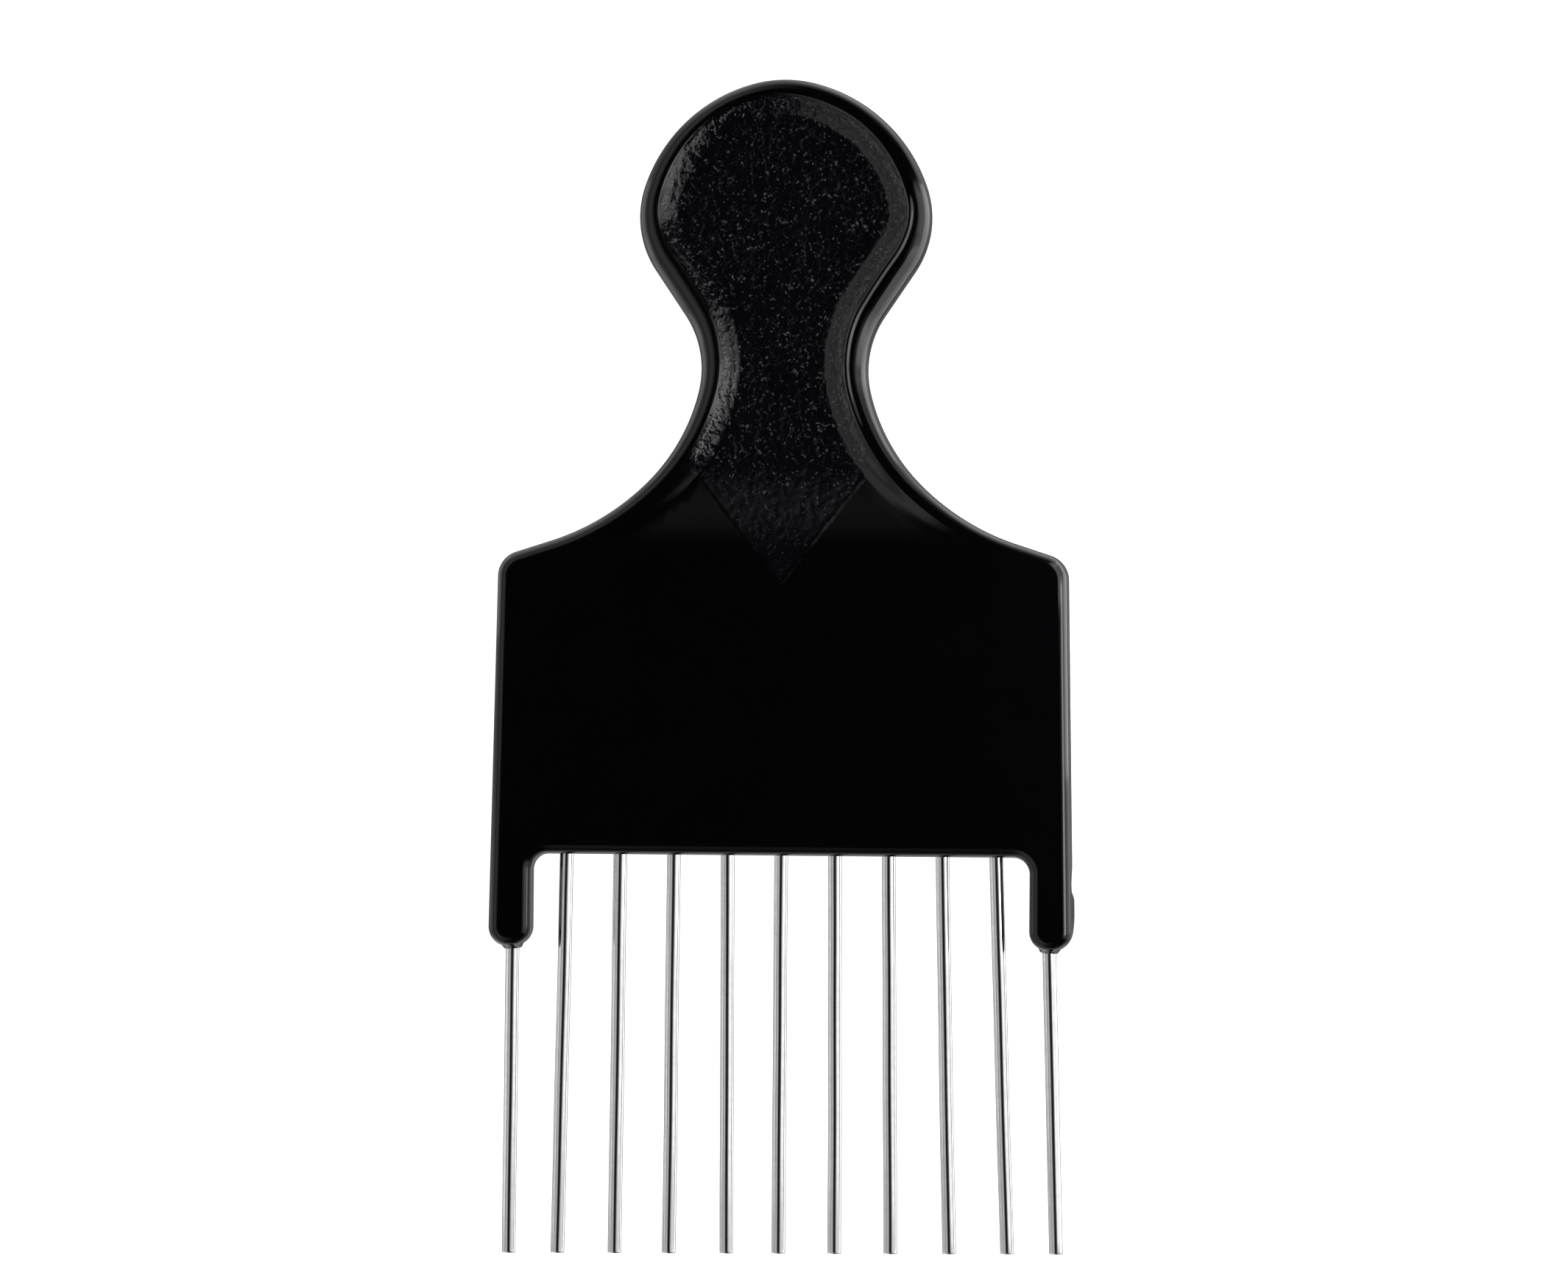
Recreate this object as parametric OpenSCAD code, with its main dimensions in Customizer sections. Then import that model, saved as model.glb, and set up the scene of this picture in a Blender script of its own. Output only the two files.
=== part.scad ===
// Afro pick: a moulded plastic handle on a row of round steel pins.
// The pick lies on its back on z = 0. +Z leaves the front face, +Y runs
// to the head of the handle and X runs across the row of pins.
// d below is a distance from the top of the head towards the pin tips.

/* [Overall] */
// Length from the top of the head to the tip of the longest pin
overall_len = 136.5; // [120:0.1:190]
// Thickness of the handle, over the rims and over the block
thick = 6; // [5:0.5:8]

/* [Head and neck] */
// Radius of the arc over the top of the head
cap_r = 14.4; // [12:0.1:17]
// Radius of the sides of the head
head_r = 18.4; // [17:0.1:20]
// Radius of the lower corners of the head
cheek_r = 11.2; // [9:0.1:13]
// Length of the straight flank between head and neck
flank_len = 6.2; // [4:0.1:9]
// Radius of the hollow of the neck
neck_r = 11.2; // [9:0.1:14]
// Radius where the neck opens out
flare_r = 22; // [20:0.5:25]
// Radius of the hollow of the shoulders
shoulder_r = 28; // [25:0.5:30]
// Radius of the upper corners of the block
corner_r = 3; // [1.5:0.1:4]

/* [Block and legs] */
// Distance from the top of the head to the lower edge of the block
block_d = 90; // [86:0.1:96]
// Distance from the top of the head to the ends of the legs
leg_d = 100.8; // [100:0.1:110]
// Half of the width over the leg ends
leg_out = 33.9; // [33.9:0.1:35]
// Half of the gap between the legs
leg_in = 29; // [28:0.05:29]
// Radius of the corners of a leg end
leg_r = 2.3; // [1:0.1:2.4]
// Radius between a leg and the lower edge of the block
gusset_r = 1.9; // [1:0.1:3]
// Radius of the rounded edge all around the handle
edge_r = 1.1; // [0.4:0.1:1.1]
// How far the small pad stands out of the side of the right leg
pad_proud = 0.3; // [0.1:0.05:0.5]

/* [Thumb dish] */
// Depth of the dish in each face
dish_depth = 1.3; // [0.5:0.1:1.8]
// From the outline to the crest of the rim, at the sides
crest_in = 2.4; // [1.8:0.05:2.6]
// From the outline to the crest of the rim, at the top of the head
crest_top = 1.2; // [1.2:0.05:2]
// Width of the slope from the crest down to the floor
slope_w = 2.7; // [2:0.1:3.2]
// Distance from the head top at which the floor starts to rise
ramp_d = 44; // [40:0.5:48]

/* [Pins] */
// Number of pins
pin_n = 11; // [11:1:11]
// Diameter of the wire
pin_dia = 1.6; // [1.2:0.1:2]
// Distance between neighbouring pins where they leave the handle
pin_pitch = 6.25; // [6.1:0.05:6.3]
// Length of wire buried above the lower edge of the block
pin_root = 20; // [12:0.5:24]
// Rounding of the pin tips
tip_round = 0.2; // [0.1:0.05:0.6]
// How much shorter each pin is cut than the one on its left
tip_slant = 0.05; // [0:0.01:0.1]
// Depth of the two rolled grooves that hold a root in the plastic
groove_deep = 0.15; // [0.05:0.05:0.3]
// Width of one of those grooves
groove_w = 1.2; // [0.8:0.1:2]

/* [Hidden] */

plastic = [0.03, 0.03, 0.033];
steel = [0.78, 0.79, 0.8];

y_top = overall_len / 2;     // y of the top of the head
mid = thick / 2;             // height of the wires and of the parting plane
// Hand-set wires lean a little: degrees, + swings the tip towards +X.
lean = [-0.3, -0.9, -0.4, -0.3, 0.3, 0, 0.4, 0.7, 1.4, 2, 1.7];

// ---- outline -------------------------------------------------------------
// Every point of the outline is [x, d, nx, nd], where n points into the plastic.
// A path is a list of [radius, turn] arcs and [0, length] straight runs: a
// heading of 0 is along x, and a positive turn bends towards the legs.
function walk(s, i = 0, x = 0, d = 0, h = 0) =
  i == len(s) ? [] :
  s[i][0] == 0
    ? let (x1 = x + s[i][1] * cos(h), d1 = d + s[i][1] * sin(h))
      concat([[x1, d1, -sin(h), cos(h)]], walk(s, i + 1, x1, d1, h))
    : let (r = s[i][0], a = s[i][1], n = ceil(abs(a) / 8),
           x1 = x + r * (sin(h + a) - sin(h)), d1 = d + r * (cos(h) - cos(h + a)))
      concat([for (k = [1:n]) let (t = h + a * k / n)
                [x + r * (sin(t) - sin(h)), d + r * (cos(h) - cos(t)), -sin(t), cos(t)]],
             walk(s, i + 1, x1, d1, h + a));

// Quarter arc around (x, d) from angle a to angle b; s = 1 where it is convex.
function bend(x, d, r, a, b, s = 1) =
  [for (k = [0:5]) let (t = a + (b - a) * k / 5)
     [x + r * cos(t), d + r * sin(t), -s * cos(t), -s * sin(t)]];

// Right side: head, neck and shoulder, then the corner of the block.
shoulder = concat([[0, 0, 0, 1]],
                  walk([[cap_r, 16], [head_r, 56], [cheek_r, 52], [0, flank_len],
                        [-neck_r, -47], [-flare_r, -32], [-shoulder_r, -27], [0, 4.3]]));
K = len(shoulder) - 1;                       // where the dish has run out
s_end = shoulder[K];
corner = [for (k = [1:6]) let (h = 18 + 71 * k / 6)
            [s_end[0] + corner_r * (sin(h) - sin(18)),
             s_end[1] + corner_r * (cos(18) - cos(h)), -sin(h), cos(h)]];
c_end = corner[5];
function side(d) = [c_end[0] + (leg_out - c_end[0]) * (d - c_end[1]) / (leg_d - leg_r - c_end[1]), d, -1, 0];
d_u = block_d - 5;                           // last row above the legs
d_a = block_d + gusset_r;                    // top of a leg
leg = concat(bend(leg_out - leg_r, leg_d - leg_r, leg_r, 0, 90),
             bend(leg_in + leg_r, leg_d - leg_r, leg_r, 90, 180));
gusset = bend(leg_in - gusset_r, block_d + gusset_r, gusset_r, 0, -90, -1);
half = concat(shoulder, corner, [side(d_u), side(d_a)], leg, gusset);
U = K + 7;                                   // index of side(d_u)
A = U + 1;                                   // index of side(d_a)
G = A + 13;                                  // first point of the gusset
n = len(half);
N = 2 * n - 1;                               // points around the whole outline
function pt(i) = i < n ? half[i] : let (p = half[N - i]) [-p[0], p[1], -p[2], p[3]];

// ---- handle --------------------------------------------------------------
// Rings go around the outline from the back face to the front face.
q = 4;                                       // steps in a rounded edge
J = 2 * q + 2;
function inset(j) = let (a = j <= q ? 90 * (q - j) / q : 90 * (j - q - 1) / q)
  edge_r * (1 - cos(a));
function height(j) = let (a = j <= q ? 90 * (q - j) / q : 90 * (j - q - 1) / q)
  j <= q ? edge_r * (1 - sin(a)) : thick - edge_r * (1 - sin(a));

// The dish: crest and floor rings, from the left end of the rim to the right.
function ease(t) = let (c = min(1, max(0, t))) c * c * (3 - 2 * c);
function fade(d) = ease((d - ramp_d) / (s_end[1] - ramp_d));
function crest_of(d) = min(crest_in, crest_top + 0.09 * d) * (1 - fade(d)) + 1.5 * fade(d);
function floor_of(d) = crest_of(d) + slope_w * (1 - fade(d)) + 1 * fade(d);
function depth_of(d) = dish_depth * (1 - fade(d));
M = 2 * K + 1;                               // points along one dish ring
function dish_pt(m) = m < K ? let (p = half[K - m]) [-p[0], p[1], -p[2], p[3]] : half[m - K];
function loop_of(m) = (N + m - K) % N;       // the same place on the outline

function inward(p, e, z) = [p[0] + p[2] * e, y_top - (p[1] + p[3] * e), z];
points = concat(
  [for (i = [0:N - 1], j = [0:J - 1]) inward(pt(i), inset(j), height(j))],
  [for (f = [0, 1], m = [0:M - 1]) let (p = dish_pt(m))
     inward(p, crest_of(p[1]), f ? thick : 0)],
  [for (f = [0, 1], m = [0:M - 1]) let (p = dish_pt(m))
     inward(p, floor_of(p[1]), f ? thick - depth_of(p[1]) : depth_of(p[1]))]);
function ring(i, j) = (i % N) * J + j;
function crest(f, m) = N * J + f * M + m;
function low(f, m) = N * J + 2 * M + f * M + m;

function quad(a, b, c, d) = [[a, b, c], [a, c, d]];
function flat(l) = [for (a = l) each a];
function turn(l, f) = f ? l : [for (t = l) [t[0], t[2], t[1]]];

// One face: the flat of the rim, the slope, the floor, the block and the legs.
function face(f) = let (j = f ? J - 1 : 0, e = function (i) ring(i, j), o = function (i) e(N - i))
  turn(concat(
    flat([for (m = [0:M - 2]) quad(e(loop_of(m)), e(loop_of(m + 1)), crest(f, m + 1), crest(f, m))]),
    flat([for (m = [0:M - 2]) quad(crest(f, m), crest(f, m + 1), low(f, m + 1), low(f, m))]),
    [[low(f, K), low(f, K + 1), low(f, K - 1)]],
    flat([for (k = [1:K - 1]) quad(low(f, K + k), low(f, K + k + 1), low(f, K - k - 1), low(f, K - k))]),
    [[crest(f, 2 * K), e(K), e(K + 1)], [low(f, 2 * K), crest(f, 2 * K), e(K + 1)]],
    [for (k = [1:5]) [low(f, 2 * K), e(K + k), e(K + k + 1)]],
    [[crest(f, 0), o(K + 1), o(K)], [low(f, 0), o(K + 1), crest(f, 0)]],
    [for (k = [1:5]) [low(f, 0), o(K + k + 1), o(K + k)]],
    [[low(f, 0), low(f, 2 * K), e(K + 6)], [low(f, 0), e(K + 6), o(K + 6)]],
    quad(o(K + 6), e(K + 6), e(U), o(U)),
    [[e(U), e(A), e(G)], [o(U), o(G), o(A)]],
    [for (k = [0:4]) [e(U), e(G + k), e(G + k + 1)]],
    [for (k = [0:4]) [o(U), o(G + k + 1), o(G + k)]],
    quad(o(U), e(U), e(G + 5), o(G + 5)),
    [for (k = [A + 1:G - 1]) [e(A), e(k), e(k + 1)]],
    [for (k = [A + 1:G - 1]) [o(A), o(k + 1), o(k)]]), f);

module body_solid() {
  polyhedron(points = points, faces = concat(
    flat([for (i = [0:N - 1], j = [0:J - 2])
            quad(ring(i, j), ring(i + 1, j), ring(i + 1, j + 1), ring(i, j + 1))]),
    face(0), face(1)), convexity = 6);
}

module handle() {
  color(plastic)
    difference() {
      union() {
        body_solid();
        translate([leg_out - 1, y_top - leg_d + 1.9, 1]) cube([1 + pad_proud, 4.8, 1.8]);
      }
      for (i = [0:pin_n - 1]) place_pin(i) wire(i);
    }
}

// ---- pins ----------------------------------------------------------------
function is_outer(i) = i == 0 || i == pin_n - 1;
function exit_d(i) = is_outer(i) ? leg_d : block_d;

// Puts a wire that runs along +Z, with z = 0 at its exit, in its bore.
module place_pin(i) {
  translate([(i - (pin_n - 1) / 2) * pin_pitch, y_top - exit_d(i), mid])
    rotate([0, 0, lean[i]]) rotate([90, 0, 0]) children();
}

// A wire: the buried root below z = 0 and the free pin above it.
module wire(i) {
  r = pin_dia / 2;
  t = tip_round;
  top = overall_len - tip_slant * i - exit_d(i);
  foot = block_d - pin_root - exit_d(i);
  g = [foot + 2.5, foot + 6];
  rotate_extrude($fn = 48)
    polygon([[0, foot], [r - 0.2, foot], [r, foot + 0.2],
             [r, g[0]], [r - groove_deep, g[0] + groove_deep],
             [r - groove_deep, g[0] + groove_w - groove_deep], [r, g[0] + groove_w],
             [r, g[1]], [r - groove_deep, g[1] + groove_deep],
             [r - groove_deep, g[1] + groove_w - groove_deep], [r, g[1] + groove_w],
             [r, top - t], [r - t * 0.08, top - t * 0.6],
             [r - t * 0.3, top - t * 0.3], [r - t * 0.6, top - t * 0.08],
             [r - t, top], [0, top]]);
}

module pin(i) { color(steel) place_pin(i) wire(i); }

handle();
pin(0);  // pin_01
pin(1);  // pin_02
pin(2);  // pin_03
pin(3);  // pin_04
pin(4);  // pin_05
pin(5);  // pin_06
pin(6);  // pin_07
pin(7);  // pin_08
pin(8);  // pin_09
pin(9);  // pin_10
pin(10);  // pin_11
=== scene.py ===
import math

import bpy
import numpy as np
from mathutils import Matrix, Vector, kdtree, noise
from mathutils.geometry import delaunay_2d_cdt


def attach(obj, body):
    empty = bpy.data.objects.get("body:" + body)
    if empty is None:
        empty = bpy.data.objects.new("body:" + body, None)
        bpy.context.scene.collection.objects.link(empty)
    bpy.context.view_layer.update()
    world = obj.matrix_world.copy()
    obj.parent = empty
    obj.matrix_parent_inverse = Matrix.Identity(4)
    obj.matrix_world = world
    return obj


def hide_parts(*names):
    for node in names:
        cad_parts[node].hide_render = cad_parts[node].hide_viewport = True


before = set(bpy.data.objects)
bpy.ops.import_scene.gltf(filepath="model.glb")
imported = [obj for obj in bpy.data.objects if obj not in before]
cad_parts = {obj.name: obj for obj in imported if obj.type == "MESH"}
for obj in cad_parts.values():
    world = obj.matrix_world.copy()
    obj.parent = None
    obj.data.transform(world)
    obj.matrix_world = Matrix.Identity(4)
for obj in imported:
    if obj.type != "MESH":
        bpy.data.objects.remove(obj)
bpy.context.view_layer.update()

# Everything below is worked out in millimetres and goes into the meshes in metres.
# d is the distance from the top of the head towards the pin tips, y = Y_TOP - d.
MM = 0.001
Y_TOP, THICK = 68.25, 6.0
MID = THICK / 2
BLOCK_D, LEG_D, LEG_OUT, LEG_IN, LEG_R, GUSSET_R = 90.0, 100.8, 33.9, 29.0, 2.3, 1.9
RAMP_D, DISH = 44.0, 1.3
PITCH, WIRE_R, TIP_D, ROOT_D, SLANT = 6.25, 0.8, 136.5, 70.0, 0.05
LEAN = [-0.3, -0.9, -0.4, -0.3, 0.3, 0, 0.4, 0.7, 1.4, 2, 1.7]
SHOULDER = [[14.4, 16], [18.4, 56], [11.2, 52], [0, 6.2], [-11.2, -47], [-22, -32], [-28, -27], [0, 4.3]]


def smooth(t):
    t = np.clip(t, 0, 1)
    return t * t * (3 - 2 * t)


def mix(a, b, t):
    return a * (1 - t) + b * t


# ---------------------------------------------------------------- outline
def walk(steps, ds):
    """Arcs [radius, turn] and straight runs [0, length] as rows [x, d, nx, nd, run]."""
    x = d = h = run = 0.0
    rows = [[0, 0, 0, 1, 0]]
    for r, a in steps:
        if r == 0:
            n = max(1, math.ceil(a / ds))
            for k in range(1, n + 1):
                t = a * k / n
                rows.append([x + t * math.cos(h), d + t * math.sin(h), -math.sin(h), math.cos(h), run + t])
            x, d, run = rows[-1][0], rows[-1][1], run + a
        else:
            turn = math.radians(a)
            long = abs(r * turn)
            n = max(2, math.ceil(long / ds))
            for k in range(1, n + 1):
                t = h + turn * k / n
                rows.append([x + r * (math.sin(t) - math.sin(h)), d + r * (math.cos(h) - math.cos(t)),
                             -math.sin(t), math.cos(t), run + long * k / n])
            x, d, h, run = rows[-1][0], rows[-1][1], h + turn, run + long
    return rows


def bend(x, d, r, a, b, s, n):
    out = []
    for k in range(n + 1):
        t = math.radians(a + (b - a) * k / n)
        out.append([x + r * math.cos(t), d + r * math.sin(t), -s * math.cos(t), -s * math.sin(t), 0])
    return out


def straight(p, q, normal, n):
    return [[p[0] + (q[0] - p[0]) * k / n, p[1] + (q[1] - p[1]) * k / n, *normal, 0] for k in range(1, n)]


DS = 0.3
shoulder = walk(SHOULDER, DS)
K = len(shoulder) - 1
S_END = shoulder[K]
RUN_END = S_END[4]
h0 = math.radians(18)
corner = []
for k in range(1, 15):
    h = math.radians(18 + 71 * k / 14)
    corner.append([S_END[0] + 3 * (math.sin(h) - math.sin(h0)), S_END[1] + 3 * (math.cos(h0) - math.cos(h)),
                   -math.sin(h), math.cos(h), 0])
C_END = corner[-1]
leg_a = bend(LEG_OUT - LEG_R, LEG_D - LEG_R, LEG_R, 0, 90, 1, 14)
leg_b = bend(LEG_IN + LEG_R, LEG_D - LEG_R, LEG_R, 90, 180, 1, 14)
gusset = bend(LEG_IN - GUSSET_R, BLOCK_D + GUSSET_R, GUSSET_R, 0, -90, -1, 12)
side_n = (-0.99977, 0.0216)
half = (shoulder + corner + straight(C_END, leg_a[0], side_n, 44) + leg_a
        + straight(leg_a[-1], leg_b[0], (0, -1), 2) + leg_b + straight(leg_b[-1], gusset[0], (-1 * -1, 0), 9)
        + gusset + straight(gusset[-1], [0, BLOCK_D], (0, -1), 34))
half = np.array(half, float)
left = half[::-1].copy()
left[:, 0] *= -1
left[:, 2] *= -1
right_mid = np.array([[0, BLOCK_D, 0, -1, 0]], float)
OUT = np.vstack([half, right_mid, left[:-1]])            # clockwise seen from the front, from the head's top
OUT[:, 2:4] /= np.linalg.norm(OUT[:, 2:4], axis=1)[:, None]
N = len(OUT)
IS_DISH = np.zeros(N, bool)
IS_DISH[:K + 1] = True
IS_DISH[N - K:] = True


# ---------------------------------------------------------------- section
def fade_of(d):
    return smooth((d - RAMP_D) / (S_END[1] - RAMP_D))


EDGE = 1.15                                                # radius of the rounded edge of block, legs and head top
# width of the rounded rim at distances from the head's top
RIM = [(-9, EDGE), (3, 1.2), (7.9, 1.5), (11.3, 1.7), (14.8, 1.8), (16.5, 1.98), (19, 2.25), (21.6, 2.45),
       (24.2, 2.52), (26.7, 2.45), (30.2, 2.16), (33.5, 1.92), (38.7, 1.66), (43.8, 1.4), (47.2, 1.25), (51, EDGE), (150, EDGE)]
RIM_D = np.arange(-2, 60, 0.25)
RIM_W = np.interp(RIM_D[:, None] + np.linspace(-2, 2, 11), [r[0] for r in RIM], [r[1] for r in RIM]).mean(1)


def bead_w(d):
    """From the outline to the top of the rounded rim."""
    return np.interp(d, RIM_D, RIM_W)


def bead_h(d):
    """How far the rounding reaches down the side."""
    return np.minimum(bead_w(d), 1.15 + 0.8 * (bead_w(d) - 1.15))


def right_of(x):
    """1 on the right side of the pick and 0 on the left: the rim's lip is broader on the right."""
    return smooth((x + 5) / 10)


def crest_of(d, x):
    """From the outline to the edge where the dish falls away."""
    return bead_w(d) + mix(mix(0.3, 0.6, right_of(x)), 0.34, fade_of(d))


def slope_w(d):
    return mix(2.6, 2.3, smooth((d - 36) / 18))


def rim_step(d, x):
    """The fine step up from the rounded rim to the lip of the dish."""
    return mix(0.03, 0.25, right_of(x)) * (1 - smooth((d - 36) / 6)) * smooth((d - 11.5) / 4)


CHAMFER_S = np.linspace(0, 1, 101)


def chamfer(start):
    """Share of the dish's depth along its slope, from the crest to the floor."""
    z = np.cumsum(1 + start * np.clip(1 - CHAMFER_S / 0.3, 0, 1) - 0.42 * smooth((CHAMFER_S - 0.3) / 0.35)
                  - 0.58 * smooth((CHAMFER_S - 0.85) / 0.15))
    return (z - z[0]) / (z[-1] - z[0])


CHAMFER_A, CHAMFER_B = chamfer(0.55), chamfer(-0.3)

V_TIP, V_TOP, V_HALF = 58.7, 46.7, 9.25                    # the point of the grained field


def v_side(x, d):
    """Signed distance from the grained field's V edge; positive inside."""
    a = math.atan2(V_HALF, V_TIP - V_TOP)
    return (V_TIP - d) * math.sin(a) - abs(x + 0.1) * math.cos(a) if np.isscalar(x) else \
        (V_TIP - d) * math.sin(a) - np.abs(x + 0.1) * math.cos(a)


def top_z(e, dn, x, d):
    """Height of a face above the middle plane: e from the outline, dn at the nearest outline point."""
    a = bead_w(dn)
    step = rim_step(dn, x)
    c = crest_of(dn, x)
    w = slope_w(dn)
    t = np.clip((a - e) / a, 0, 1)
    z = MID - step - bead_h(dn) * (1 - np.sqrt(np.clip(1 - t * t, 0, 1)))
    z = z + step * smooth((e - a) / 0.42)
    deep = DISH * (1 - fade_of(d))
    s = np.clip((e - c) / w, 0, 1)
    # the dish falls away at a crisp edge in a nearly flat chamfer, which ends in a tight hollow
    late = smooth((dn - 38) / 6)
    cove = mix(np.interp(s, CHAMFER_S, CHAMFER_A), np.interp(s, CHAMFER_S, CHAMFER_B), late)
    z = z - deep * cove
    inside = smooth(v_side(x, d) / 0.12) * smooth((e - c - 0.25 * w) / 0.5)
    # the fine step around the point of the grained field is worn in places
    worn = 0.022 + 0.022 * noise.noise(Vector((x * 1.3, d * 1.3, 3)))
    return z - max(0.004, worn) * inside


def pad_out(d, z, side):
    """The small pad on the outer side of the right leg, in the rear half."""
    if side <= 0:
        return 0.0
    up = float(smooth((1.3 - (z - MID)) / 1.2))
    bump = 0.2 * float(smooth((d - 94.0) / 0.5)) * float(smooth((99.3 - d) / 2.4))
    dip = -0.12 * float(smooth((d - 90.7) / 2.5)) * float(smooth((94.3 - d) / 0.6))
    return (bump + dip) * up


def collar(x, d, nx, nd, zr):
    """A tiny ring of flash around an outer wire where it leaves the leg."""
    if d < LEG_D - 0.6 or nd > -0.5:
        return 0.0
    r = math.hypot(abs(x) - 5 * PITCH, zr)
    return 0.34 * float(smooth((1.32 - r) / 0.42))


# ---------------------------------------------------------------- grain
def grain(x, y, seed):
    """Pebbled moulding grain, in millimetres, about 0.6 mm across."""
    p = Vector((x / 0.62 + 31 * seed, y / 0.62, 7.3 * seed))
    p += 0.35 * noise.noise_vector(Vector((x * 1.1, y * 1.1, seed)))
    near = noise.voronoi(p, distance_metric="DISTANCE")[0]
    crease = min(1.0, (near[1] - near[0]) / 0.5)
    fine = noise.noise(Vector((x * 3.1, y * 3.1, 5 + seed)))
    return 0.008 * (crease - 0.6) + 0.003 * fine


# ---------------------------------------------------------------- handle mesh
def handle_mesh(name):
    verts, faces = [], []
    index = {}

    def add(x, d, z):
        verts.append((x * MM, (Y_TOP - d) * MM, (z + MID) * MM))
        return len(verts) - 1

    # walls and rounded edges: from the front's last ring, over the side, to the back's
    angles = [0, 5, 11, 18, 25, 32, 39, 46, 53, 60, 67, 74, 81, 86, 90]
    wall_k = [0.84, 0.56, 0.32]
    J = len(angles) * 2 + 11
    rings = np.zeros((N, J), int)
    for i in range(N):
        x, d, nx, nd = OUT[i, :4]
        a = float(bead_w(d))
        st = float(rim_step(d, x))
        col = []
        for g in angles:
            t = math.radians(g)
            col.append((a * (1 - math.sin(t)), MID - st - float(bead_h(d)) * (1 - math.cos(t))))
        wall = [k * col[-1][1] for k in wall_k]
        for w in wall + [0.16, 0.06, 0.0, -0.06, -0.16] + [-v for v in wall[::-1]]:
            # a fine witness line runs around the parting plane
            col.append((0.0 if abs(w) > 0.1 else (-0.03 if w == 0.0 else -0.012), w))
        col += [(e, -z) for e, z in col[:len(angles)][::-1]]
        for j, (e, z) in enumerate(col):
            away = 0.012 * (abs(z) / MID) if e == 0 else 0.0   # draft of the mould
            push = pad_out(d, z + MID, x if nx < -0.5 else -1) + collar(x, d, nx, nd, z)
            e2 = e - push
            px, pd = x + nx * (e2 + away), d + nd * (e2 + away)
            rings[i, j] = add(px, pd, z)
    for i in range(N):
        k = (i + 1) % N
        for j in range(J - 1):
            faces.append((rings[i, j], rings[i, j + 1], rings[k, j + 1], rings[k, j]))

    # the two faces
    edge_a = bead_w(OUT[:, 1])
    rim = OUT[:, :2] + OUT[:, 2:4] * edge_a[:, None]
    tree = kdtree.KDTree(N)
    for i in range(N):
        tree.insert((OUT[i, 0], OUT[i, 1], 0), i)
    tree.balance()

    def nearest(x, d):
        """(inset, d of the nearest outline point)."""
        _, i, r = tree.find((x, d, 0))
        best, dn = r, OUT[i, 1]
        for k in (i - 1, i + 1):
            p, q = OUT[i, :2], OUT[k % N, :2]
            v = q - p
            L = float(v @ v)
            if L > 0:
                t = min(1.0, max(0.0, float((np.array((x, d)) - p) @ v) / L))
                f = p + v * t
                r2 = math.hypot(x - f[0], d - f[1])
                if r2 < best:
                    best, dn = r2, float(f[1])
        return best, dn

    pts, info = [], []
    for i in range(N):
        pts.append(tuple(rim[i]))
        info.append(None)
    edges = [(i, (i + 1) % N) for i in range(N)]

    def put(x, d, e, dn):
        pts.append((x, d))
        info.append((e, dn))
        return len(pts) - 1

    # the rim's lip and the slope, in rows along the outline
    slope = [-0.05, 0.0, 0.05, 0.12, 0.21, 0.33, 0.48] + [0.48 + 0.2 * k for k in range(1, 12)]
    ring_pts = []
    for i in np.nonzero(IS_DISH)[0]:
        x, d, nx, nd = OUT[i, :4]
        if d > S_END[1] - 0.6:
            continue
        a, c, w = float(bead_w(d)), float(crest_of(d, x)), float(slope_w(d))
        lip = [0.06, 0.13, 0.19, 0.25] if x < 0 else [0.06, 0.13, 0.19, 0.25, 0.31, 0.38, 0.44]
        es = [a + v for v in lip] + [c + v * w / 2.6 for v in slope if v * w / 2.6 <= w + 0.02]
        if d > 52.5:
            es = [a + 0.15] + [c + w * k / 5 for k in range(6)]
        for e in es:
            px, pd = x + nx * e, d + nd * e
            ring_pts.append((px, pd, e, float(d), c + w))
    # V edges of the grained field: a fine step, so two lines a tenth apart
    va = math.atan2(V_HALF, V_TIP - V_TOP)
    v_lines = []
    for sgn in (1, -1):
        for off in (-0.01, 0.13):
            line = []
            for k in range(60):
                s = k * 0.26
                x = -0.1 + sgn * (s * math.sin(va)) - sgn * off * math.cos(va) * 1.0
                d = V_TIP - s * math.cos(va) - off * math.sin(va)
                if (x + 0.1) * sgn < 0.02:
                    continue
                e, dn = nearest(x, d)
                if e < float(crest_of(dn, x) + slope_w(dn)) - 0.05:
                    break
                line.append((x, d, e, dn))
            v_lines.append(line)
    grid = kdtree.KDTree(sum(len(v) for v in v_lines))
    n = 0
    for line in v_lines:
        for q in line:
            grid.insert((q[0], q[1], 0), n)
            n += 1
    grid.balance()
    for px, pd, e, dn, _ in ring_pts:
        if grid.find((px, pd, 0))[2] < 0.1:
            continue
        put(px, pd, e, dn)
    for line in v_lines:
        ids = [put(*q) for q in line]
        edges += list(zip(ids[:-1], ids[1:]))
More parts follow.
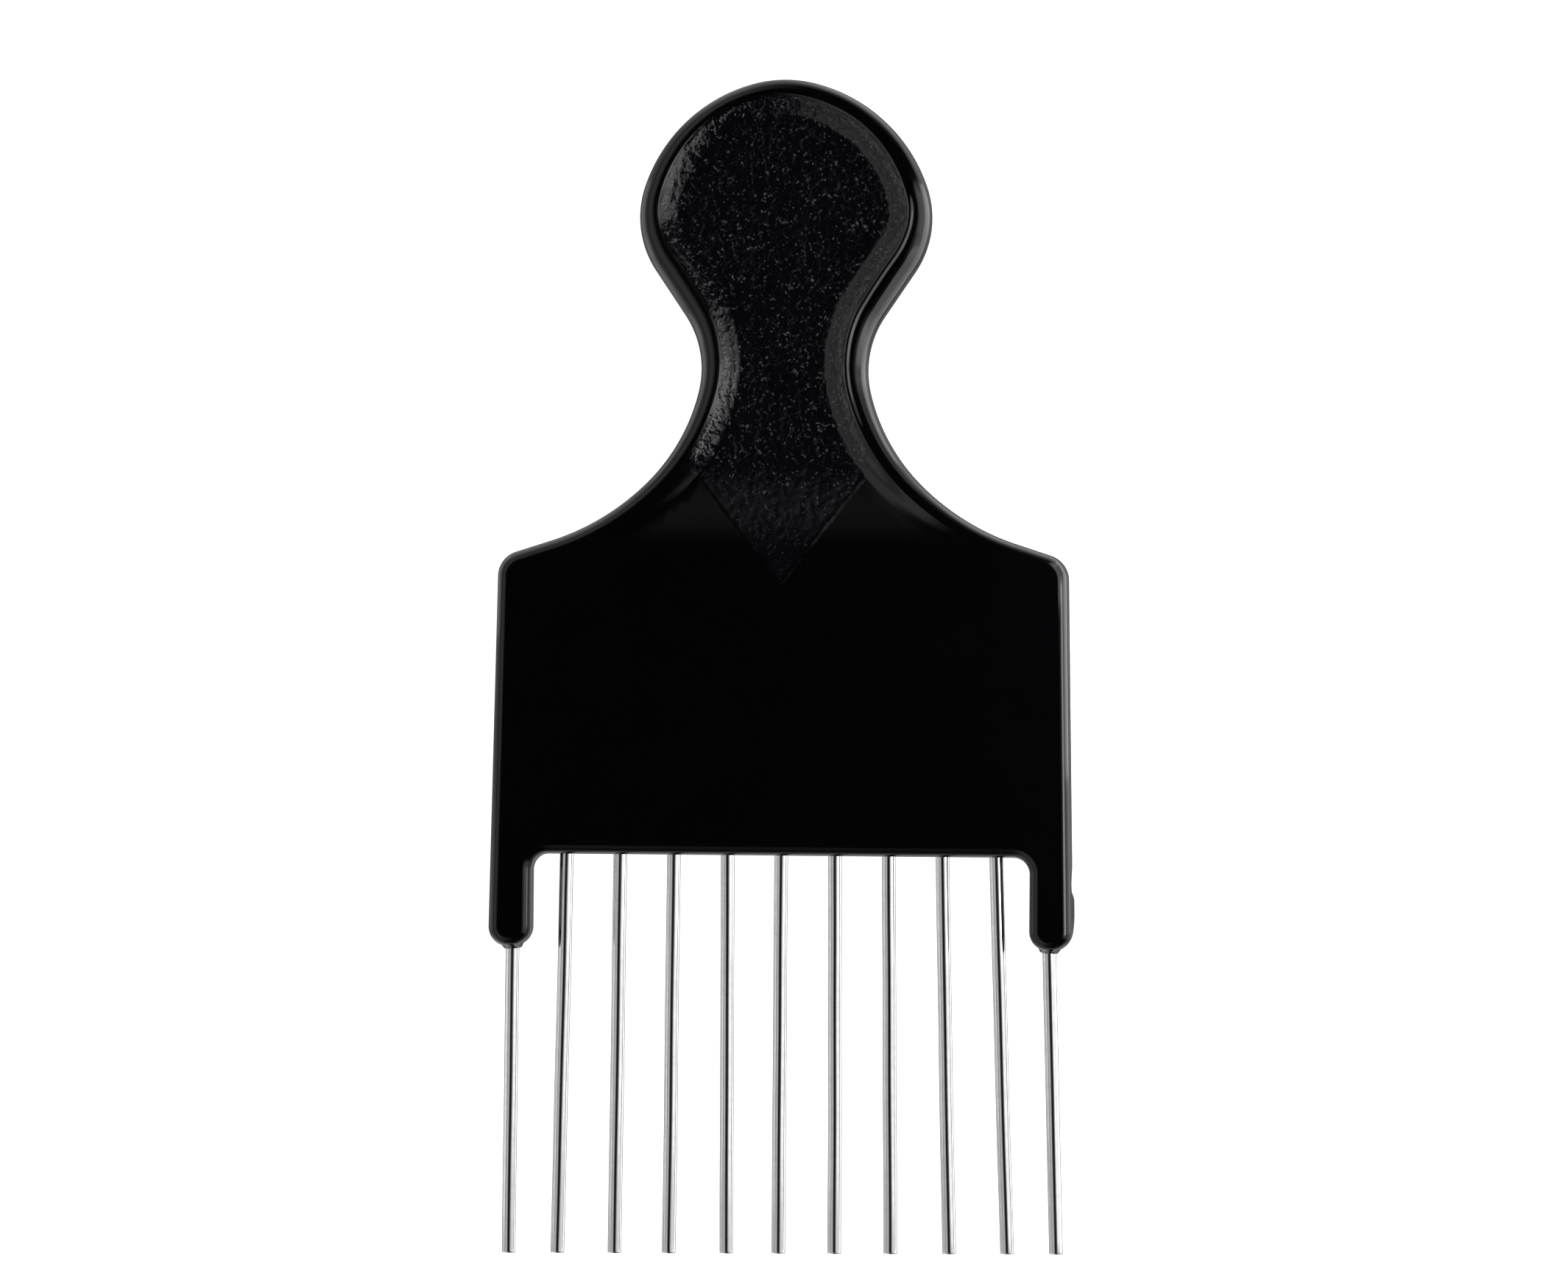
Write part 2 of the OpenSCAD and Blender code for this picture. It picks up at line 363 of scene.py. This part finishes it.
    # the floor, a fine triangular grid inside the slope, and a coarse one over the block
    g = 0.225
    for r in range(int(60 / (g * 0.866)) + 1):
        d = 2 + r * g * 0.866
        for k in range(-90, 91):
            x = (k + 0.5 * (r % 2)) * g
            if d > V_TIP + 0.3 or (d > 45 and float(v_side(x, d)) < -0.4):
                continue
            e, dn = nearest(x, d)
            if d < 57 and dn < S_END[1] - 0.6 and e < float(crest_of(dn, x) + slope_w(dn)) + 0.12:
                continue
            if e < float(bead_w(dn)) + 0.2 or grid.find((x, d, 0))[2] < 0.13:
                continue
            put(x, d, e, dn)
    g = 0.9
    for r in range(int(60 / g) + 1):
        d = 44 + r * g
        for k in range(-45, 46):
            x = (k + 0.5 * (r % 2)) * g
            if d > LEG_D - 1.3 or (d > BLOCK_D and abs(x) < LEG_IN):
                continue
            if float(v_side(x, d)) > -0.75:
                continue
            e, dn = nearest(x, d)
            if e < float(bead_w(dn)) + 0.35:
                continue
            if dn < S_END[1] - 0.6 and e < float(crest_of(dn, x) + slope_w(dn)) + 0.45:
                continue
            put(x, d, e, dn)

    out_v, out_e, out_f, orig, _, _ = delaunay_2d_cdt([Vector(p) for p in pts], edges, [list(range(N))], 1, 1e-6)
    # which of the solver's points are ring points, and the height of the rest
    ids = {}
    for j, o in enumerate(orig):
        o = list(o)
        ids[j] = next((q for q in o if q < N), o[0] if o else None)
    print("face points", len(out_v), "triangles", len(out_f), "rings", J)
    for front in (True, False):
        sgn = 1 if front else -1
        mine = {}
        for j, v in enumerate(out_v):
            q = ids[j]
            if q is not None and q < N:
                mine[j] = int(rings[q, 0] if front else rings[q, J - 1])
                continue
            if q is None:
                e, dn = nearest(v.x, v.y)
            else:
                e, dn = info[q]
            z = float(top_z(e, dn, v.x, v.y))
            c = float(crest_of(dn, v.x))
            m = float(smooth(v_side(v.x, v.y) / 0.25)) * float(smooth((e - c - 0.3) / 0.9)) * (1 - 0.6 * float(fade_of(v.y)))
            if m > 0.01:
                z += m * grain(v.x, v.y, 1 if front else 2)
            mine[j] = add(v.x, v.y, sgn * z)
        for f in out_f:
            t = [mine[j] for j in f]
            a, b, c = (out_v[f[0]], out_v[f[1]], out_v[f[2]])
            area = (b.x - a.x) * (c.y - a.y) - (b.y - a.y) * (c.x - a.x)
            if (area < 0) != front:                       # d runs down, so a front face turns the other way
                t.reverse()
            faces.append(tuple(t))
    me = bpy.data.meshes.new(name)
    me.from_pydata(verts, [], faces)
    me.validate(verbose=False)
    me.update()
    return me, N, J


me, ring_n, ring_j = handle_mesh("handle_body")
handle = bpy.data.objects.new("handle_body", me)
bpy.context.scene.collection.objects.link(handle)

import bmesh
bm = bmesh.new()
bm.from_mesh(me)
bmesh.ops.delete(bm, geom=[v for v in bm.verts if not v.link_faces], context="VERTS")
bmesh.ops.recalc_face_normals(bm, faces=bm.faces)
print("handle", len(bm.verts), "verts", len(bm.faces), "faces",
      "open edges", sum(len(e.link_faces) != 2 for e in bm.edges), "volume mm3", round(bm.calc_volume(signed=True) * 1e9, 1))
bm.to_mesh(me)
bm.free()
me.shade_smooth()


# ---------------------------------------------------------------- pins
def pin_mesh(name, i):
    outer = i in (0, 10)
    exit_d = LEG_D if outer else BLOCK_D
    x0 = (i - 5) * PITCH
    th = math.radians(LEAN[i])
    top = TIP_D - SLANT * i - exit_d
    foot = ROOT_D - exit_d
    R, seg = WIRE_R, 72
    prof = [(0.0, foot), (0.35, foot), (R - 0.2, foot), (R - 0.06, foot + 0.06), (R, foot + 0.2)]
    for g0 in (foot + 2.5, foot + 6):
        prof += [(R, g0), (R - 0.15, g0 + 0.15), (R - 0.15, g0 + 1.05), (R, g0 + 1.2)]
    start = foot + 7.4
    n = int((top - 0.5 - start) / 1.0)
    prof += [(R, start + (top - 0.3 - start) * k / n) for k in range(n + 1)]
    r = 0.2
    for a in (8, 18, 30, 42, 54, 66, 78, 90):
        t = math.radians(a)
        prof.append((R - r * (1 - math.cos(t)), top - r + r * math.sin(t)))
    prof += [(0.3, top), (0.0, top)]
    rnd = np.random.default_rng(40 + i)
    ph, amp = rnd.uniform(0, 6.28, 3), rnd.uniform(0.4, 1.0, 3)
    verts, faces, ring = [], [], []
    for r_, s in prof:
        # a drawn wire is straight to a few hundredths of a millimetre
        free = max(0.0, min(1.0, s / 12.0))
        wob = 0.02 * free * (amp[0] * math.sin(s / 9.0 + ph[0]) + amp[1] * math.sin(s / 4.3 + ph[1]))
        if r_ == 0.0:
            lx, lz = wob, 0.0
            X = x0 + lx * math.cos(th) + s * math.sin(th)
            Y = Y_TOP - exit_d + lx * math.sin(th) - s * math.cos(th)
            verts.append((X * MM, Y * MM, (MID + lz) * MM))
            ring.append([len(verts) - 1])
            continue
        row = []
        for k in range(seg):
            t = 2 * math.pi * k / seg
            lx, lz = r_ * math.cos(t) + wob, r_ * math.sin(t)
            X = x0 + lx * math.cos(th) + s * math.sin(th)
            Y = Y_TOP - exit_d + lx * math.sin(th) - s * math.cos(th)
            verts.append((X * MM, Y * MM, (MID + lz) * MM))
            row.append(len(verts) - 1)
        ring.append(row)
    for a, b in zip(ring[:-1], ring[1:]):
        for k in range(seg):
            q = (k + 1) % seg
            if len(a) == 1:
                faces.append((a[0], b[q], b[k]))
            elif len(b) == 1:
                faces.append((a[k], a[q], b[0]))
            else:
                faces.append((a[k], a[q], b[q], b[k]))
    m = bpy.data.meshes.new(name)
    m.from_pydata(verts, [], faces)
    m.validate(verbose=False)
    b = bmesh.new()
    b.from_mesh(m)
    bmesh.ops.recalc_face_normals(b, faces=b.faces)
    b.to_mesh(m)
    b.free()
    m.update()
    m.shade_smooth()
    return m


# ---------------------------------------------------------------- materials
class Tree:
    """Short calls for building a node tree."""

    def __init__(self, tree):
        self.t = tree

    def node(self, kind, **props):
        n = self.t.nodes.new(kind)
        for k, v in props.items():
            setattr(n, k, v)
        return n

    def link(self, a, b):
        self.t.links.new(a, b)
        return b

    def feed(self, socket, value):
        if isinstance(value, bpy.types.NodeSocket):
            self.t.links.new(value, socket)
        else:
            socket.default_value = value

    def math(self, op, a, b=None, c=None, clamp=False):
        n = self.node("ShaderNodeMath", operation=op, use_clamp=clamp)
        self.feed(n.inputs[0], a)
        if b is not None:
            self.feed(n.inputs[1], b)
        if c is not None:
            self.feed(n.inputs[2], c)
        return n.outputs[0]

    def window(self, v, lo0, lo1, hi0=None, hi1=None):
        """Rises smoothly from lo0 to lo1 and falls from hi0 to hi1."""
        up = self.ramp(v, lo0, lo1)
        return up if hi0 is None else self.math("MULTIPLY", up, self.ramp(v, hi1, hi0))

    def ramp(self, v, a, b, lo=0.0, hi=1.0):
        n = self.node("ShaderNodeMapRange", interpolation_type="SMOOTHSTEP")
        self.feed(n.inputs["Value"], v)
        n.inputs["From Min"].default_value = a
        n.inputs["From Max"].default_value = b
        n.inputs["To Min"].default_value = lo
        n.inputs["To Max"].default_value = hi
        return n.outputs[0]

    def noise(self, vec, scale, detail=2.0, rough=0.5, dist=0.0):
        n = self.node("ShaderNodeTexNoise")
        self.feed(n.inputs["Vector"], vec)
        n.inputs["Scale"].default_value = scale
        n.inputs["Detail"].default_value = detail
        n.inputs["Roughness"].default_value = rough
        n.inputs["Distortion"].default_value = dist
        return n.outputs["Fac"]

    def dots(self, vec, scale, inner, outer):
        """Separate rounded grains: 1 at the middle of each and 0 past its edge."""
        bent = self.node("ShaderNodeTexNoise")
        self.feed(bent.inputs["Vector"], vec)
        bent.inputs["Scale"].default_value = scale * 0.9
        bent.inputs["Detail"].default_value = 0.0
        push = self.node("ShaderNodeVectorMath", operation="SCALE")
        self.link(bent.outputs["Color"], push.inputs[0])
        push.inputs["Scale"].default_value = 1.1 / scale
        moved = self.node("ShaderNodeVectorMath", operation="ADD")
        self.feed(moved.inputs[0], vec)
        self.link(push.outputs[0], moved.inputs[1])
        n = self.node("ShaderNodeTexVoronoi", feature="F1")
        self.feed(n.inputs["Vector"], moved.outputs[0])
        n.inputs["Scale"].default_value = scale
        return self.ramp(n.outputs["Distance"], outer, inner)

    def scaled(self, vec, by):
        n = self.node("ShaderNodeVectorMath", operation="MULTIPLY")
        self.feed(n.inputs[0], vec)
        n.inputs[1].default_value = by
        return n.outputs[0]

    def bump(self, height, distance, strength=1.0, normal=None):
        n = self.node("ShaderNodeBump")
        self.feed(n.inputs["Height"], height)
        n.inputs["Distance"].default_value = distance
        n.inputs["Strength"].default_value = strength
        if normal is not None:
            self.link(normal, n.inputs["Normal"])
        return n.outputs["Normal"]


def new_material(name):
    m = bpy.data.materials.new(name)
    m.use_nodes = True
    m.node_tree.nodes.clear()
    t = Tree(m.node_tree)
    out = t.node("ShaderNodeOutputMaterial")
    p = t.node("ShaderNodeBsdfPrincipled")
    t.link(p.outputs[0], out.inputs[0])
    return m, t, p


# grain of the dish: pads and grits to a metre, and heights in tenths of a millimetre
PADS, RELIEF, GRITS, GRIT_IN, GRIT_OUT, GRIT_UP, GRIT_ROUGH, ROUGH = 1350, 1.75, 2000, 0.12, 0.37, 0.25, 0.6, 0.05


def plastic():
    m, t, p = new_material("black_moulded_plastic")
    p.inputs["Specular IOR Level"].default_value = 0.5
    p.inputs["IOR"].default_value = 1.5
    pos = t.node("ShaderNodeTexCoord").outputs["Object"]
    sep = t.node("ShaderNodeSeparateXYZ")
    t.link(pos, sep.inputs[0])
    x, y, z = sep.outputs
    # the grained field: the attribute holds 1 inside it and 0 on the smooth plastic
    att = t.node("ShaderNodeAttribute", attribute_name="grained")
    g = att.outputs["Fac"]
    # leathery grain: low rounded pads, and small grits that stand out of them
    pads = t.noise(pos, PADS, 1.2, 0.5, 0.4)
    grits = t.dots(pos, GRITS, GRIT_IN, GRIT_OUT)
    grits = t.math("MULTIPLY", grits, t.ramp(t.noise(pos, 1050, 1, 0.5), 0.40, 0.66, 0.0, 1.0))
    deep = t.ramp(t.noise(pos, 330, 1, 0.5), 0.3, 0.68, 0.45, 1.1)
    deep = t.math("MULTIPLY", deep, t.ramp(y, 0.0205, 0.0255, 0.2, 1.0))
    # the floor of the dish is a little smoother than its slopes
    up = t.math("ABSOLUTE", t.math("SUBTRACT", z, MID * MM))
    deep = t.math("MULTIPLY", deep, t.ramp(up, 0.00172, 0.0020, 0.68, 1.08))
    h = t.math("ADD", t.math("MULTIPLY", pads, RELIEF), t.math("MULTIPLY", grits, GRIT_UP))
    h = t.math("MULTIPLY", t.math("MULTIPLY", h, deep), g)
    n1 = t.bump(h, 0.0001, 1.0)
    # the smooth plastic: long, weak waves of the moulding and hairline marks of use
    waves = t.noise(pos, 55, 2, 0.5)
    hair = t.noise(t.scaled(pos, (260, 5200, 1200)), 1.0, 2, 0.6)
    hair2 = t.noise(t.scaled(pos, (4300, 420, 1200)), 1.0, 2, 0.6)
    marks = t.math("MAXIMUM", t.ramp(hair, 0.70, 0.80), t.ramp(hair2, 0.71, 0.8))
    sm = t.math("ADD", t.math("MULTIPLY", waves, 1.0), t.math("MULTIPLY", marks, 0.012))
    n2 = t.bump(sm, 0.00006, 0.35, n1)
    t.link(n2, p.inputs["Normal"])
    # gloss: duller in the grain and where hands have rubbed it
    rub = t.noise(pos, 130, 4, 0.6)
    r = t.math("ADD", 0.09, t.math("MULTIPLY", rub, 0.07))
    r = t.math("ADD", r, t.math("MULTIPLY", marks, 0.10))
    r = t.math("ADD", r, t.math("MULTIPLY", g, ROUGH))
    # the tops of the grits are dull, so they show as specks from every side
    r = t.math("ADD", r, t.math("MULTIPLY", t.math("MULTIPLY", grits, deep), t.math("MULTIPLY", g, GRIT_ROUGH)))
    t.link(r, p.inputs["Roughness"])
    mixn = t.node("ShaderNodeMix", data_type="RGBA")
    cloud = t.noise(pos, 240, 3, 0.6)
    t.link(t.ramp(cloud, 0.35, 0.7), mixn.inputs[0])
    mixn.inputs[6].default_value = (0.0008, 0.0007, 0.0012, 1)
    mixn.inputs[7].default_value = (0.0010, 0.0009, 0.0014, 1)
    field = t.node("ShaderNodeMix", data_type="RGBA")
    t.link(g, field.inputs[0])
    t.link(mixn.outputs[2], field.inputs[6])
    field.inputs[7].default_value = (0.0019, 0.0017, 0.0040, 1)
    # the grits' tops get a painted highlight: a light grey base colour that stands in for glints off the grain,
    # painted fainter towards the point of the grained field
    painted_glints = t.node("ShaderNodeMix", data_type="RGBA")
    t.link(t.math("MULTIPLY", t.math("MULTIPLY", grits, g), t.ramp(y, 0.016, 0.026, 0.36, 1.0)), painted_glints.inputs[0])
    t.link(field.outputs[2], painted_glints.inputs[6])
    painted_glints.inputs[7].default_value = (0.115, 0.115, 0.135, 1)
    t.link(painted_glints.outputs[2], p.inputs["Base Color"])
    return m


def steel():
    m, t, p = new_material("bright_plated_wire")
    p.inputs["Metallic"].default_value = 1.0
    pos = t.node("ShaderNodeTexCoord").outputs["Object"]
    drawn = t.noise(t.scaled(pos, (9000, 90, 9000)), 1.0, 3, 0.6)
    spots = t.noise(pos, 900, 3, 0.6)
    h = t.math("ADD", t.math("MULTIPLY", drawn, 1.0), t.math("MULTIPLY", spots, 0.3))
    t.link(t.bump(h, 0.000002, 0.6), p.inputs["Normal"])
    r = t.math("ADD", 0.05, t.math("MULTIPLY", spots, 0.06))
    r = t.math("ADD", r, t.math("MULTIPLY", t.ramp(drawn, 0.55, 0.8), 0.05))
    t.link(r, p.inputs["Roughness"])
    mixn = t.node("ShaderNodeMix", data_type="RGBA")
    t.link(t.ramp(spots, 0.3, 0.75), mixn.inputs[0])
    mixn.inputs[6].default_value = (0.70, 0.70, 0.71, 1)
    mixn.inputs[7].default_value = (0.63, 0.63, 0.645, 1)
    t.link(mixn.outputs[2], p.inputs["Base Color"])
    return m


black, bright = plastic(), steel()

# the grained field as a point attribute
co = np.zeros(len(me.vertices) * 3)
me.vertices.foreach_get("co", co)
co = co.reshape(-1, 3) / MM
vx, vd, vz = co[:, 0], Y_TOP - co[:, 1], co[:, 2] - MID
tree = kdtree.KDTree(N)
for i in range(N):
    tree.insert((OUT[i, 0], OUT[i, 1], 0), i)
tree.balance()
field = np.zeros(len(co))
cand = np.nonzero((vd < V_TIP) & (np.abs(vz) > 1.2))[0]
for i in cand:
    _, k, r = tree.find((vx[i], vd[i], 0))
    c = float(crest_of(OUT[k, 1], OUT[k, 0]))
    field[i] = float(smooth(v_side(vx[i], vd[i]) / 0.7)) * float(smooth((r - c - 0.05) / 0.45))
att = me.attributes.new("grained", "FLOAT", "POINT")
att.data.foreach_set("value", field.astype(np.float32))

me.materials.append(black)
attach(handle, "root")
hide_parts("handle")
for i in range(11):
    name = f"wire_{i + 1:02d}"
    pm = pin_mesh(name, i)
    pm.materials.append(bright)
    o = bpy.data.objects.new(name, pm)
    bpy.context.scene.collection.objects.link(o)
    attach(o, "root")
    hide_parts(f"pin_{i + 1:02d}")

# ---------------------------------------------------------------- floor
s = 1.6
fm = bpy.data.meshes.new("floor")
fm.from_pydata([(-s, -s, -0.00005), (s, -s, -0.00005), (s, s, -0.00005), (-s, s, -0.00005)], [], [(0, 1, 2, 3)])
floor = bpy.data.objects.new("floor", fm)
bpy.context.scene.collection.objects.link(floor)
m, t, p = new_material("pale_floor")
p.inputs["Base Color"].default_value = (0.86, 0.86, 0.86, 1)
p.inputs["Roughness"].default_value = 0.9
p.inputs["Specular IOR Level"].default_value = 0.0
p.inputs["Emission Color"].default_value = (1, 1, 1, 1)
p.inputs["Emission Strength"].default_value = 1.0
fm.materials.append(m)
floor.visible_glossy = False
floor.visible_shadow = False

# ---------------------------------------------------------------- studio: a dark ceiling round the lens, soft walls of light
world = bpy.data.worlds.new("studio")
bpy.context.scene.world = world
world.use_nodes = True
world.node_tree.nodes.clear()
w = Tree(world.node_tree)
direction = w.node("ShaderNodeTexCoord").outputs["Generated"]
sep = w.node("ShaderNodeSeparateXYZ")
w.link(direction, sep.inputs[0])
dx, dy, dz = sep.outputs
polar = w.math("MULTIPLY", w.math("ARCCOSINE", dz), 180 / math.pi)
flat = w.math("SQRT", w.math("ADD", w.math("MULTIPLY", dx, dx), w.math("ADD", w.math("MULTIPLY", dy, dy), 1e-6)))
cx, cy = w.math("DIVIDE", dx, flat), w.math("DIVIDE", dy, flat)


def toward(az):
    """Cosine of the angle between a direction and an azimuth, from +X towards +Y."""
    a = math.radians(az)
    return w.math("ADD", w.math("MULTIPLY", cx, math.cos(a)), w.math("MULTIPLY", cy, math.sin(a)))


def around(az, full, none):
    return w.ramp(toward(az), math.cos(math.radians(none)), math.cos(math.radians(full)))


def lobe(strength, az, full, none, lo0, lo1, hi0=None, hi1=None):
    k = w.math("MULTIPLY", around(az, full, none), w.window(polar, lo0, lo1, hi0, hi1))
    return w.math("MULTIPLY", k, strength)


def total(*parts):
    s = parts[0]
    for q in parts[1:]:
        s = w.math("ADD", s, q)
    return s


light = total(
    0.016,
    lobe(0.36, -7, 15, 28, 14, 30, 122, 150),            # right wall
    lobe(0.48, -8, 12, 24, 22, 48, 122, 150),
    lobe(1.5, 40, 25, 60, 68, 96, 122, 150),
    lobe(0.60, 180, 50, 95, 10, 34, 44, 62),            # left wall
    lobe(0.68, 180, 50, 95, 44, 78, 122, 150),
    lobe(0.95, 90, 22, 55, 40, 92, 122, 150),           # beyond the head
    lobe(1.25, -90, 30, 70, 72, 114, 136, 155),         # below the pins
    w.math("MULTIPLY", w.ramp(polar, 128, 150), 0.24),
)
# past the edge of the floor the lens sees a plain pale wall
seen = w.node("ShaderNodeLightPath").outputs["Is Camera Ray"]
light = w.math("ADD", w.math("MULTIPLY", light, w.math("SUBTRACT", 1.0, seen)), seen)
bg = w.node("ShaderNodeBackground")
w.link(light, bg.inputs["Strength"])
bg.inputs["Color"].default_value = (1, 1, 1, 1)
wo = w.node("ShaderNodeOutputWorld")
w.link(bg.outputs[0], wo.inputs[0])


def soft_box(name, where, aim, wide, high, radiance):
    """A flat light of one brightness, seen only in the gloss of the pick and by the light it gives."""
    data = bpy.data.lights.new(name, "AREA")
    data.shape = "RECTANGLE"
    data.size, data.size_y = wide, high
    data.energy = radiance * math.pi * wide * high
    box = bpy.data.objects.new(name, data)
    bpy.context.scene.collection.objects.link(box)
    z = (Vector(where) - Vector(aim)).normalized()
    x = Vector((0, 1, 0))
    y = z.cross(x)
    box.matrix_world = Matrix(((x.x, y.x, z.x, where[0]), (x.y, y.y, z.y, where[1]), (x.z, y.z, z.z, where[2]),
                               (0, 0, 0, 1)))
    box.visible_camera = False


# by the right edge of the block, low beside the head on both sides, over the left and right
# of the dish, and farther off on both sides of the pins
soft_box("box_high", (0.0445, -0.0117, 0.0175), (0, -0.0117, 0.0175), 0.0445, 0.0085, 4.3)
soft_box("box_low", (0.08, 0.034, -0.002), (0, 0.034, -0.002), 0.092, 0.056, 2.4)
soft_box("box_left", (-0.08, 0.042, -0.006), (0, 0.042, -0.006), 0.075, 0.048, 0.85)
soft_box("box_slope", (0.045, 0.022, 0.033), (-0.013, 0.022, 0.006), 0.028, 0.034, 1.7)
soft_box("box_shoulder", (0.06, 0.058, 0.055), (0, 0.058, 0.055), 0.036, 0.08, 0.7)
soft_box("box_pins_right", (0.3, -0.047, 0.215), (0, -0.047, 0.003), 0.058, 0.25, 0.55)
soft_box("box_pins_left", (-0.3, -0.047, 0.005), (0, -0.047, 0.003), 0.058, 0.23, 0.34)

# ---------------------------------------------------------------- camera
cam_data = bpy.data.cameras.new("camera")
cam = bpy.data.objects.new("camera", cam_data)
bpy.context.scene.collection.objects.link(cam)
bpy.context.scene.camera = cam
cam_data.sensor_width = 36
cam_data.lens = 300
PX = 11.7                                               # pixels of the photograph to a millimetre
yaw, roll = math.radians(4.4), math.radians(0.46)
back = Vector((math.sin(yaw), 0, math.cos(yaw)))
right = Vector((math.cos(yaw), 0, -math.sin(yaw)))
up = Vector((0, 1, 0))
# the head leans to the right in the picture, so the camera is turned the other way
r2 = right * math.cos(roll) + up * math.sin(roll)
u2 = up * math.cos(roll) - right * math.sin(roll)
centre = Vector((0.0, 0.0, MID * MM)) + r2 * (1.7 / PX * MM) + u2 * (39.6 / PX * MM)
dist = cam_data.lens / 36 * 2130 / PX * MM
cam.matrix_world = Matrix((
    (r2.x, u2.x, back.x, centre.x + back.x * dist),
    (r2.y, u2.y, back.y, centre.y + back.y * dist),
    (r2.z, u2.z, back.z, centre.z + back.z * dist),
    (0, 0, 0, 1)))
cam_data.clip_start, cam_data.clip_end = 0.05, 50

vs = bpy.context.scene.view_settings
vs.view_transform = "Standard"
vs.look = "None"
vs.exposure = 0
vs.gamma = 1
